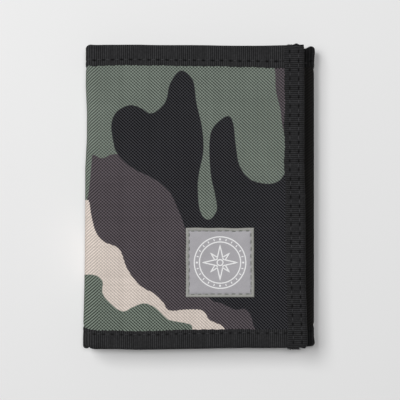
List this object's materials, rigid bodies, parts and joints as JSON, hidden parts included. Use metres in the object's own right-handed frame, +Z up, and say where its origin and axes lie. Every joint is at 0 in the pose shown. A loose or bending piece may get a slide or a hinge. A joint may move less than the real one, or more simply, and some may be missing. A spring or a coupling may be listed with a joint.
{
  "type": "trifold wallet",
  "caption": "Closed trifold wallet of camouflage woven nylon with black tape edges and a hook-and-loop flap, opening on paired fold hinges to a note space, card slots and a zipped coin pocket.",
  "frame": {"origin": "centre of the footprint, on the surface that the closed wallet lies on", "axes": "+Z up through the layers, +Y along the folds towards the open edge of the note space, +X from the left fold to the free end of the front flap"},
  "size_m": [0.094, 0.1258, 0.0157],
  "materials": {
    "camo_nylon": "woven nylon printed with green, black, brown and sand camouflage, coated back",
    "black_nylon": "plain black woven nylon, coated back",
    "grosgrain": "ribbed black polyester tape, satin",
    "narrow_tape": "narrow black edging tape",
    "lining": "thin black nylon taffeta",
    "pocket_cloth": "black woven nylon",
    "clear_window": "clear flexible vinyl",
    "label_cloth": "light grey satin woven label with a white line print",
    "label_thread": "grey green sewing thread",
    "black_thread": "black sewing thread",
    "hook_tape": "black nylon hooks on a woven ground",
    "loop_tape": "brushed black nylon loops",
    "zip_tape": "black woven zip tape",
    "zip_coil": "black nylon coil",
    "zip_metal": "black enamelled zinc alloy"
  },
  "bodies": {
    "back": {"back_bottom_binding": "grosgrain", "back_liner": "lining", "back_liner_binding": "narrow_tape", "back_shell": "camo_nylon", "back_top_binding": "grosgrain", "card_slot_1": "pocket_cloth", "card_slot_1_tape": "narrow_tape", "card_slot_2": "pocket_cloth", "card_slot_2_tape": "narrow_tape", "card_slot_3": "pocket_cloth", "card_slot_3_tape": "narrow_tape"},
    "left_fold": {"left_fold_bottom_binding": "grosgrain", "left_fold_liner": "lining", "left_fold_shell": "camo_nylon", "left_fold_top_binding": "grosgrain"},
    "front_flap": {"front_edge_stitches": "black_thread", "front_end_stitches": "black_thread", "front_flap_bottom_binding": "grosgrain", "front_flap_end_binding": "grosgrain", "front_flap_liner": "lining", "front_flap_liner_binding": "narrow_tape", "front_flap_shell": "camo_nylon", "front_flap_top_binding": "grosgrain", "hook_strip": "hook_tape", "id_pocket": "pocket_cloth", "id_window": "clear_window", "label_patch": "label_cloth", "label_stitches": "label_thread"},
    "right_fold": {"right_fold_bottom_binding": "grosgrain", "right_fold_liner": "lining", "right_fold_shell": "black_nylon", "right_fold_top_binding": "grosgrain"},
    "inner_flap": {"coin_pocket_front": "pocket_cloth", "coin_pocket_upper": "pocket_cloth", "inner_flap_bottom_binding": "grosgrain", "inner_flap_end_binding": "grosgrain", "inner_flap_liner": "lining", "inner_flap_shell": "black_nylon", "inner_flap_top_binding": "grosgrain", "loop_strip": "loop_tape", "slip_pocket": "pocket_cloth", "zip_coil_lower": "zip_coil", "zip_coil_upper": "zip_coil", "zip_stops": "zip_metal", "zip_tape_lower": "zip_tape", "zip_tape_upper": "zip_tape"},
    "zip_slider": {"zip_slider": "zip_metal"},
    "zip_pull": {"zip_pull": "zip_metal"}
  },
  "joints": [
    {"name": "left_fold_hinge", "type": "hinge", "parent": "back", "child": "left_fold", "pos_m": [-0.0458, 0, 0.00115], "axis": [0, -1, 0], "range_deg": [0, 88]},
    {"name": "front_flap_hinge", "type": "hinge", "parent": "left_fold", "child": "front_flap", "pos_m": [-0.0458, 0, 0.0144], "axis": [0, -1, 0], "range_deg": [0, 88]},
    {"name": "right_fold_hinge", "type": "hinge", "parent": "back", "child": "right_fold", "pos_m": [0.0458, 0, 0.00115], "axis": [0, 1, 0], "range_deg": [0, 79.2]},
    {"name": "inner_flap_hinge", "type": "hinge", "parent": "right_fold", "child": "inner_flap", "pos_m": [0.0458, 0, 0.0078], "axis": [0, 1, 0], "range_deg": [0, 79.2]},
    {"name": "zip_slide", "type": "slide", "parent": "inner_flap", "child": "zip_slider", "axis": [1, 0, 0], "range_m": [0, 0.031]},
    {"name": "zip_pull_hinge", "type": "hinge", "parent": "zip_slider", "child": "zip_pull", "pos_m": [0.006, 0.038, 0.0117], "axis": [0, -1, 0], "range_deg": [0, 176]}
  ],
  "couplings": [
    {"joint": "front_flap_hinge", "follows": "left_fold_hinge", "ratio": 1},
    {"joint": "right_fold_hinge", "follows": "left_fold_hinge", "ratio": 0.9},
    {"joint": "inner_flap_hinge", "follows": "left_fold_hinge", "ratio": 0.9},
    {"joint": "zip_pull_hinge", "follows": "left_fold_hinge", "ratio": 2}
  ]
}
